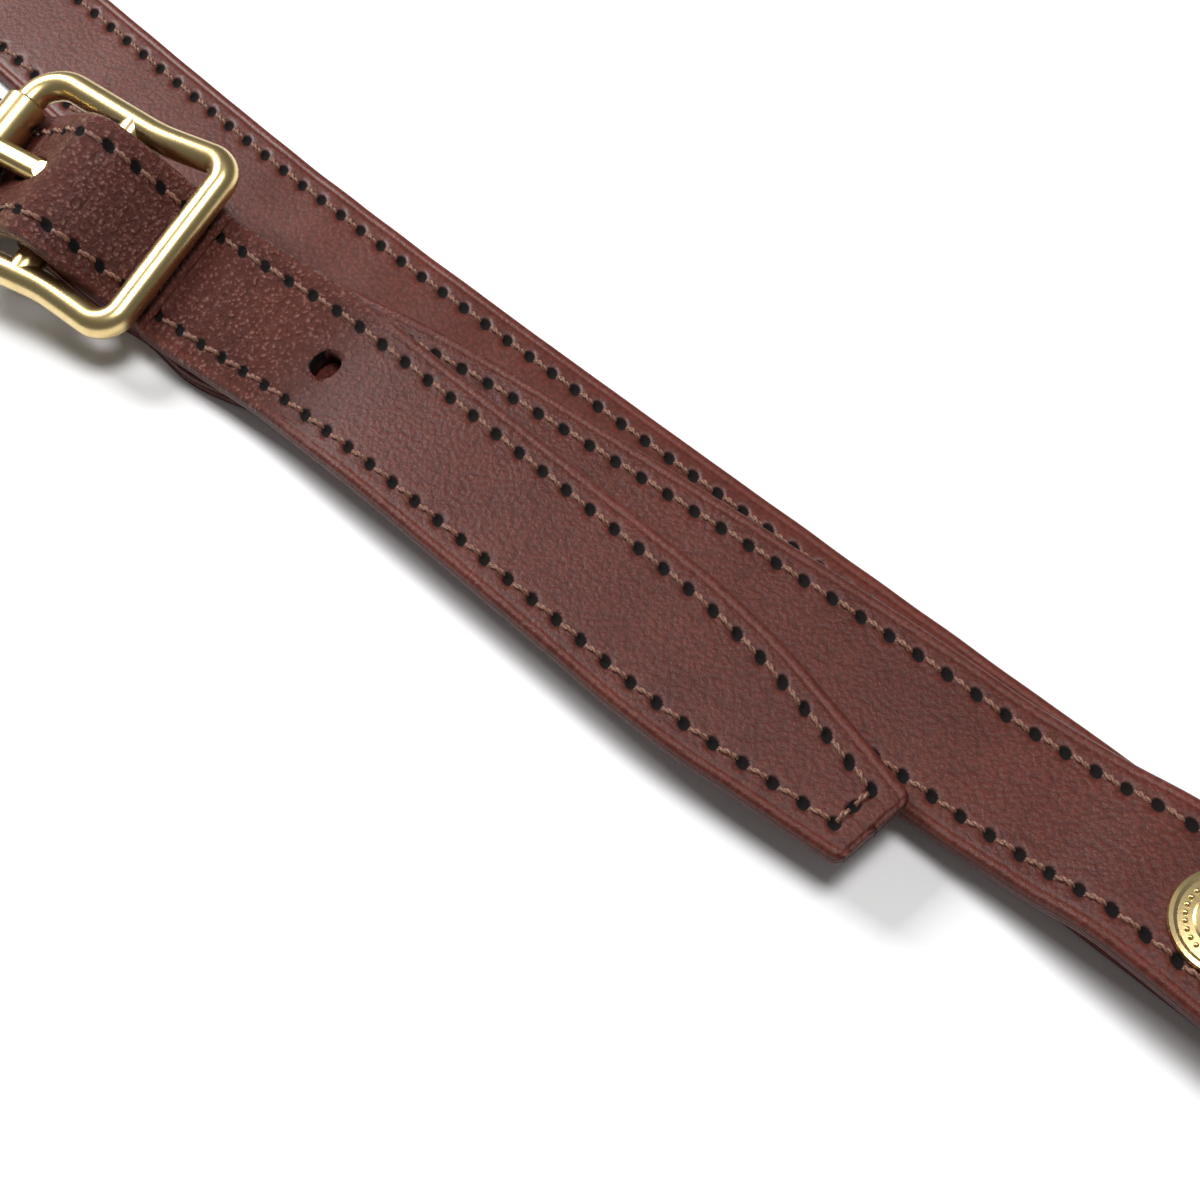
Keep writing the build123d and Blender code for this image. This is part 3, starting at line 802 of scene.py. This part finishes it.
TAIL_RUN = [
    (18.0, -4.2, 4.3, 5.0, 1.9, 10.0, 20.0), (25.0, -4.3, 4.3, 4.0, 2.0, 9.5, 20.0),
    (37.0, -4.3, 4.3, -1.5, 2.3, 8.5, 20.0), (48.0, -5.1, 4.3, -4.5, 2.65, 4.5, 20.0),
    (60.0, -6.2, 4.3, -5.5, 2.85, 0.5, 20.0), (85.0, -8.7, 4.3, -6.0, 2.8, 0.0, 20.0),
    (98.0, -10.1, 4.3, -6.5, 2.8, 0.0, 20.0), (108.0, -11.4, 4.3, -7.5, 2.8, 0.0, 19.0),
    (120.0, -13.1, 4.3, -8.0, 2.8, 0.0, 15.6), (133.0, -15.0, 4.3, -8.5, 2.8, 0.0, 11.3),
]
RIGHT_INCOMING = [
    (-290, 11.2, 17.3, -9), (-280, 9.6, 16.3, -9), (-265, 7.2, 13.4, -9), (-245, 3.0, 9.6, -9.5),
    (-225, -2.0, 6.4, -9.5), (-206, -6.0, 3.6, -9), (-186, -8.6, 1.5, -7), (-130, -12.0, 1.4, -4),
    (-80, -13.3, 1.6, 1), (-60, -12.5, 3.0, 4, 2), (-44, -11.0, 4.9, 5, 5), (-30, -9.3, 6.5, 6, 8),
]
LEFT_INCOMING = [
    (-284, 77.5, 17.3, 14), (-270, 81.0, 15.9, 14), (-250, 86.2, 11.4, 14.5), (-230, 91.4, 6.6, 14.5),
    (-205, 98.0, 2.5, 14.5), (-180, 104.3, 1.4, 14), (-130, 116.2, 1.4, 13), (-80, 126.6, 1.4, 11),
    (-60, 130.0, 1.7, 9), (-45, 131.9, 3.2, 7), (-30, 133.6, 4.6, 6),
]
RIGHT_ARM = [
    (-170, 22.3, 2.6, 9), (-213, 16.2, 2.6, 6.5), (-232, 14.4, 1.35, 5), (-250, 13.0, 1.35, 4),
    (-290, 11.2, 1.3, 2),
]
LEFT_ARM = [
    (-170, 43.6, 2.6, -18), (-213, 58.0, 2.6, -18), (-232, 64.1, 1.35, -17), (-250, 69.4, 1.35, -15),
    (-284, 77.5, 1.3, -12),
]
BACK_RUN = [
    (-166, 33.0, 2.6, -5), (-131, 29.8, 2.6, -5.5), (-112, 27.8, 1.35, -6), (-67, 22.6, 1.3, -7.5),
    (-34, 18.3, 1.3, -8), (-10, 15.0, 1.3, -7.5), (12, 12.2, 1.3, -6.5), (36, 9.8, 1.3, -5.5),
    (60, 7.8, 1.3, -4.5), (110, 4.2, 1.3, -4), (160, 0.7, 1.3, -4), (216, -3.2, 1.4, -4),
    (228, -4.0, 2.0, -4), (237, -4.6, 2.8, -4), (252, -5.7, 2.8, -4), (270, -6.9, 2.8, -4),
    (287, -8.1, 2.8, -4),
]
BACK_FLAP_RUN = [
    (287, -8.1, 10.6, -4), (272, -7.0, 10.4, -4), (263, -6.4, 9.5, -4, 0, 17.5),
    (253, -5.7, 8.1, -4, 0, 13.5), (250, -5.5, 8.0, -4, 0, 13.0), (234, -4.4, 8.0, -4, 0, 12.0),
]
YOKE = [
    (-134, 17.5), (-150, 14.5), (-178, 7.0), (-198, 4.6), (-206, 27.0), (-201.5, 36.0),
    (-206, 45.0), (-211, 69.5), (-190, 63.5), (-158, 50.5), (-134, 42.8),
]
FOLD_RADIUS = 8.0
LOOP_RADIUS = 3.9
SEWN_FLAP = 20.0


class Side:
    """Where one front strap end lies: turned and mirrored for its side."""

    def __init__(self, name, lifted, mirror, origin, turn):
        self.name, self.lifted, self.mirror = name, lifted, mirror
        self.origin, self.turn = np.array(origin), turn
        rise, self.bank = (1.9, 10.0) if lifted else (0.0, 0.0)
        self.heading = 6.0 * mirror + turn
        self.centre = np.array([*self.spot(0, -5.9), 8.8 + rise])

    def spot(self, x, y):
        """A place on the right side, in plan, taken to this side."""
        y = y * self.mirror
        c, s = math.cos(math.radians(self.turn)), math.sin(math.radians(self.turn))
        return (self.origin[0] + x * c - y * s, self.origin[1] + x * s + y * c)

    def run(self, stations):
        """Stations taken to this side. Only the right side lies lifted and banked."""
        found = []
        for x, y, z, heading, rise, bank, width in stations:
            height = z + (rise if self.lifted else 0.0)
            tilt = bank if self.lifted else 0.0
            found.append((*self.spot(x, y), height, heading * self.mirror + self.turn, tilt, width))
        return found

    def profile(self, points, width=STRAP_WIDTH):
        """Stations from points of the buckle's side view."""
        h, tilt = math.radians(self.heading), math.radians(self.bank)
        ahead = np.array([math.cos(h), math.sin(h), 0])
        level = np.array([-math.sin(h), math.cos(h), 0])
        up = np.array([0, 0, 1]) * math.cos(tilt) - level * math.sin(tilt)
        found = []
        for x, z in points:
            found.append((*(self.centre + ahead * x + up * z), self.heading, self.bank, width))
        return found


RIGHT = Side("right", True, 1, (0.0, 0.0), 0.0)
LEFT = Side("left", False, -1, (0.0, 130.0), 12.0)


def point_at(path, at, height=0.0):
    """A point at a distance along a path and a height above it."""
    sample = path.sample(np.array([at]))[0]
    return sample[:3] + sample[6:9] * height


def blended(pieces, a, b, start, end):
    for piece in pieces:
        tuple(row(start))
        tuple(row(end))
        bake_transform(piece)


def riding(pieces, body):
    for piece in pieces:
        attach(piece, body)


def stand_for(nodes):
    """Hides the CAD's plain solids that a leather piece stands in for."""
    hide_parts(*nodes)


def both_plies(stem):
    return [stem + "_outer", stem + "_lining"]


# ---- creases in the leather ----
def flex_wrinkles(start, end, depth, spacing, seed):
    """Short creases across a strap where it has been bent, fading at both ends of the stretch."""
    draw = np.random.default_rng(seed)
    lines = [
        (draw.uniform(start, end), draw.uniform(-8, 8), draw.uniform(2.0, 6.0), draw.uniform(-0.22, 0.22),
         draw.uniform(0.4, 1.0))
        for _ in range(int((end - start) / spacing))
    ]

    def lift(at, across):
        value = np.zeros(at.shape)
        for place, middle, reach, slant, strength in lines:
            fade = math.sin(math.pi * (place - start) / (end - start))
            line = np.exp(-((at - place - slant * (across - middle)) / 0.42) ** 2)
            value -= depth * strength * fade * line * np.exp(-((across - middle) / reach) ** 2)
        return value

    return lift


def soft_waves(seed, size=0.07):
    """The slight unevenness of a hand-cut strap's face."""
    draw = np.random.default_rng(seed)
    waves = [(draw.uniform(9, 31), draw.uniform(0, 6.28), draw.uniform(-0.25, 0.25)) for _ in range(5)]

    def lift(at, across):
        parts = [np.sin(2 * math.pi * at / length + phase + tilt * across) for length, phase, tilt in waves]
        return size * sum(parts) / 3

    return lift


def together(*makers):
    return lambda at, across: sum(make(at, across) for make in makers)


# ---- front straps ----
def build_front(side, arm, incoming):
    name, front = side.name, side.name + "_front"
    seen = name == "right"
    arm, incoming = full(arm), full(incoming)
    low_end = arm[-1]
    loop = vertical_loop(*low_end[:3], FOLD_RADIUS, low_end[3], incoming[0][3], -1, 1)
    through = side.profile(STRAP_PROFILE)
    tail = side.run(TAIL_RUN)
    path = Path(arm + loop + incoming + through + tail)

    fold = path.at[np.argmin(np.linalg.norm(path.table[:, :3] - np.array(incoming[0][:3]), axis=1))]
    split = path.at[np.argmin(np.linalg.norm(path.table[:, :3] - np.array(tail[0][:3]), axis=1))]
    hub = path.at[np.argmin(np.linalg.norm(
        path.table[:, :3] - (side.centre + np.array([0, 0, OVER_BAR])), axis=1))]
    phase = split + 1.0

    shoulder = Strip(f"{name}_shoulder_strap", path, 0.0, fold, rows=[(SHOULDER_ROW_START, fold, phase)],
                     wrinkles=soft_waves(3))
    shoulder_leather = shoulder.build(LEATHER)
    stand_for(both_plies(f"{name}_shoulder_strap"))
    riding([shoulder_leather, shoulder.stitches()], "back")

    adjusting = [hub - FIRST_HOLE_BACK - HOLE_PITCH * i for i in range(3)]
    prong_hole = (hub - PRONG_HOLE_BACK, *PRONG_HOLE)
    near = (hub - 62.0, split) if seen else (hub - 22.0, split)
    wrinkle = together(soft_waves(5), flex_wrinkles(hub - 9, hub + 9, 0.12, 0.5, 11))
    fine = [near] + [(a - 5.0, a + 5.0) for a in adjusting]
    strap = Strip(f"{name}_front_strap", path, fold, split, fine=fine,
                  rows=[(fold, split, phase)],
                  holes=[(a, HOLE_RADIUS, 1.0) for a in adjusting] + [prong_hole],
                  wrinkles=wrinkle, flexed=[(hub - 12, split)])
    leather_piece = strap.build(LEATHER)
    stand_for(both_plies(f"{name}_front_strap"))
    blended([leather_piece, strap.stitches()], "back", front, point_at(path, fold, PLY),
            point_at(path, fold + FOLD_BLEND, PLY))

    spare_at = path.nearest(side.spot(*SPARE_HOLE)[0], start=split)
    end = path.length
    last_hole = end - ROW_INSET
    tail_piece = Strip(f"{name}_tail", path, split, end, fine=[(split, end if seen else split + 40)],
                       rows=[(split, last_hole + 0.01, last_hole)], holes=[(spare_at, HOLE_RADIUS, 1.0)],
                       wrinkles=together(soft_waves(8), flex_wrinkles(split + 1, split + 18, 0.17, 0.36, 21)),
                       round_end=True, single=[(last_hole, 0.0)], flexed=[(split, split + 24)])
    tail_leather = tail_piece.build(LEATHER)
    stand_for(both_plies(f"{name}_tail"))
    threads = [tail_piece.stitches(), tip_stitches(tail_piece, last_hole)]
    blended([tail_leather, *threads], front, f"{name}_tail", point_at(path, split, PLY),
            point_at(path, split + TAIL_BLEND, PLY))
    build_tab(side)


def tip_stitches(strip, last_hole):
    """The two stitches that cross the tail just short of its end."""
    sample = strip.path.sample(np.array([last_hole]))[0]
    half = sample[12] / 2 - ROW_INSET
    points, quads = [], []
    for begin in (-half, 0.0):
        finish = begin + half - TIP_STITCH_MARGIN
        cross_stitch(sample, begin + TIP_STITCH_MARGIN, finish, strip.high, points, quads)
    return add_mesh(strip.name + "_tip_thread", np.concatenate(points), quads, THREAD)


def cross_stitch(sample, begin, finish, height, points, quads):
    """One stitch at a height above a sample, sideways from begin to finish."""
    rings, sides = FINE_STRAND
    t = np.linspace(0, 1, rings)
    lift = height + stitch_arch(t)
    across = begin + (finish - begin) * t
    line = sample[:3] + np.outer(across, sample[3:6]) + np.outer(lift, sample[6:9])
    level = np.tile(sample[9:12], (rings, 1))
    up = np.tile(sample[6:9], (rings, 1))
    twisted_pair(line, level, up, CROSS_TWIST, sides, True, points, quads)


def build_tab(side):
    """The buckle tab, turned round the centre bar, and its belt loop and flap."""
    name, front = side.name, side.name + "_front"
    seen = name == "right"
    level = side.run(TAB_RUN)
    flap = side.run(FLAP_RUN)
    exit_run = side.profile(TAB_EXIT)
    wrap = side.profile(TAB_WRAP, FOLD_WIDTH)
    under_run = [level[1], level[0]] + exit_run[:0:-1]
    end = level[-1]
    loop = vertical_loop(*end[:3], LOOP_RADIUS, end[3], end[3], 1, -1, steps=10)
    path = Path(under_run + wrap + exit_run + level + loop + flap)

    def along(station, start=0.0):
        gap = np.linalg.norm(path.table[:, :3] - np.array(station[:3]), axis=1)
        return path.at[int(np.argmin(np.where(path.at >= start, gap, 1e9)))]

    turned = along(exit_run[-1], start=along(wrap[-1]))
    lined = along(level[2], start=turned)
    seam = along(flap[0], start=lined + 20)

    def lower(at):
        back = np.where(at >= lined, -PLY, 0.0)
        return np.where(at < along(wrap[0]) - 1.5, REST_GAP, back)

    phase = lined + 0.7
    snap = along(side.run([(*SNAP_SPOT, 6.6, -6.0, 2.8, 0.0, STRAP_WIDTH)])[0], start=lined)
    fine = [(turned, snap + 14 if seen else turned + 10)]
    shared = dict(lower=lower, wrinkles=soft_waves(13))
    if seen:
        tab = Strip(f"{name}_tab", path, 0.0, path.length, fine=fine, round_start=True, round_end=True,
                    rows=[(turned + 8, seam + SEWN_FLAP, phase)], **shared)
        piece = tab.build(LEATHER)
        stand_for(both_plies(f"{name}_tab") + both_plies(f"{name}_flap"))
        riding([piece, tab.stitches()], front)
        return
    tab = Strip(f"{name}_tab", path, 0.0, seam, fine=fine, round_start=True,
                rows=[(turned + 8, seam, phase)], **shared)
    piece = tab.build(LEATHER)
    stand_for(both_plies(f"{name}_tab"))
    riding([piece, tab.stitches()], front)
    closing = Strip(f"{name}_flap", path, seam, path.length, rows=[(seam, seam + SEWN_FLAP, phase)],
                    round_end=True, wrinkles=soft_waves(17, 0.05))
    closing_leather = closing.build(LEATHER)
    stand_for(both_plies(f"{name}_flap"))
    blended([closing_leather, closing.stitches()], front, f"{name}_flap",
            point_at(path, seam), point_at(path, seam + FLAP_BLEND))


# ---- back strap ----
def build_back():
    run, flap_run = full(BACK_RUN), full(BACK_FLAP_RUN)
    end = run[-1]
    loop = vertical_loop(*end[:3], LOOP_RADIUS, end[3], end[3], 1, 1, steps=10)
    path = Path(run + loop + flap_run)
    gap = np.linalg.norm(path.table[:, :3] - np.array(flap_run[0][:3]), axis=1)
    seam = path.at[int(np.argmin(gap))]
    phase = 1.9
    seen = (path.nearest(-78, end=250), path.nearest(SEEN_TO, end=450))
    strap = Strip("back_strap", path, 0.0, seam, fine=[seen], rows=[(BACK_ROW_START, seam, phase)],
                  wrinkles=soft_waves(23))
    piece = strap.build(BACK_LEATHER)
    stand_for(both_plies("back_strap"))
    riding([piece, strap.stitches()], "back")
    flap = Strip("back_flap", path, seam, path.length, rows=[(seam, seam + SEWN_FLAP, phase)], round_end=True,
                 wrinkles=soft_waves(29, 0.05))
    flap_piece = flap.build(BACK_LEATHER)
    stand_for(both_plies("back_flap"))
    blended([flap_piece, flap.stitches()], "back", "back_flap", point_at(path, seam),
            point_at(path, seam + FLAP_BLEND))


# ---- yoke ----
def rounded_outline(corners, radius, steps=6):
    """A polygon's corners rounded by arcs."""
    corners = np.array(corners, float)
    found = []
    for i, corner in enumerate(corners):
        before = corners[i - 1] - corner
        after = corners[(i + 1) % len(corners)] - corner
        before /= np.linalg.norm(before)
        after /= np.linalg.norm(after)
        half = math.acos(max(-1.0, min(1.0, float(before @ after)))) / 2
        if half > math.radians(89):
            found.append(corner)
            continue
        reach = min(radius / math.tan(half), 6.0)
        start, end = corner + before * reach, corner + after * reach
        for t in np.linspace(0, 1, steps):
            found.append((1 - t) ** 2 * start + 2 * t * (1 - t) * corner + t * t * end)
    return np.array(found)


def inset(outline, distance):
    """An outline's points moved inwards."""
    ahead = np.roll(outline, -1, axis=0) - np.roll(outline, 1, axis=0)
    ahead /= np.linalg.norm(ahead, axis=1)[:, None]
    inward = np.stack([ahead[:, 1], -ahead[:, 0]], axis=1)
    return outline + inward * distance


def build_yoke():
    outline = rounded_outline(YOKE, 4.0)
    for name, low in (("yoke_under", 0.0), ("yoke_top", YOKE_TOP_Z)):
        high = low + YOKE_PLY
        levels = [
            (0.45, low), (0.12, low + 0.12), (0.0, low + 0.4), (0.0, high - 0.4), (0.12, high - 0.12),
            (0.45, high), (1.2, high), (1.35, high - 0.07), (1.55, high),
        ]
        rings = [np.column_stack([inset(outline, d), np.full(len(outline), z)]) for d, z in levels]
        verts = np.concatenate(rings)
        count = len(outline)
        faces = []
        for level in range(len(rings) - 1):
            for k in range(count):
                a, b = level * count + k, level * count + (k + 1) % count
                faces.append((a, a + count, b + count, b))
        faces.append(tuple(range(count)))
        faces.append(tuple(reversed(range((len(rings) - 1) * count, len(rings) * count))))
        material = LEATHER if name == "yoke_top" else LINING
        piece = add_mesh(name + "_patch", verts, faces, material, verts[:, :2])
        stand_for([name])
        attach(piece, "back")
    seam = inset(outline, YOKE_SEAM_INSET)
    path = Path([(*p, 4.5, 0.0, 0.0, STRAP_WIDTH) for p in np.vstack([seam, seam[:1]])])
    points, quads = [], []
    for begin in np.arange(0.5, path.length - PITCH, PITCH):
        a = point_at(path, begin + YOKE_STITCH_MARGIN)
        b = point_at(path, begin + PITCH - YOKE_STITCH_MARGIN)
        ahead = (b - a) / np.linalg.norm(b - a)
        across = np.array([-ahead[1], ahead[0], 0.0])
        sample = np.concatenate([(a + b) / 2, ahead, [0, 0, 1], across, [STRAP_WIDTH]])
        sample[2] = 0.0
        length = np.linalg.norm(b - a)
        cross_stitch(sample, -length / 2, length / 2, YOKE_TOP_Z + YOKE_PLY, points, quads)
    thread = add_mesh("yoke_thread", np.concatenate(points), quads, THREAD)
    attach(thread, "back")


build_front(RIGHT, RIGHT_ARM, RIGHT_INCOMING)
build_front(LEFT, LEFT_ARM, LEFT_INCOMING)
build_back()
build_yoke()

# ---- brass: the CAD's own buckles and snaps ----
SMOOTH_ANGLE = math.radians(32)
for name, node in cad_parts.items():
    if "buckle" in name or "snap" in name:
        node.data.materials.clear()
        node.data.materials.append(BRASS)
        node.data.polygons.foreach_set("use_smooth", [True] * len(node.data.polygons))
        node.data.set_sharp_from_angle(angle=SMOOTH_ANGLE)


# ---- table ----
TABLE_HALF_SIZE = 3.0


def add_table():
    size = TABLE_HALF_SIZE
    mesh = bpy.data.meshes.new("table")
    z = cad_bounds[0][2]
    corners = [(-size, -size, z), (size, -size, z), (size, size, z), (-size, size, z)]
    mesh.from_pydata(corners, [], [(0, 1, 2, 3)])
    s = Shader("table_white", Base_Color=(0.93, 0.93, 0.93, 1), Roughness=0.85)
    mesh.materials.append(s.material)
    thing = bpy.data.objects.new("table", mesh)
    bpy.context.scene.collection.objects.link(thing)


add_table()
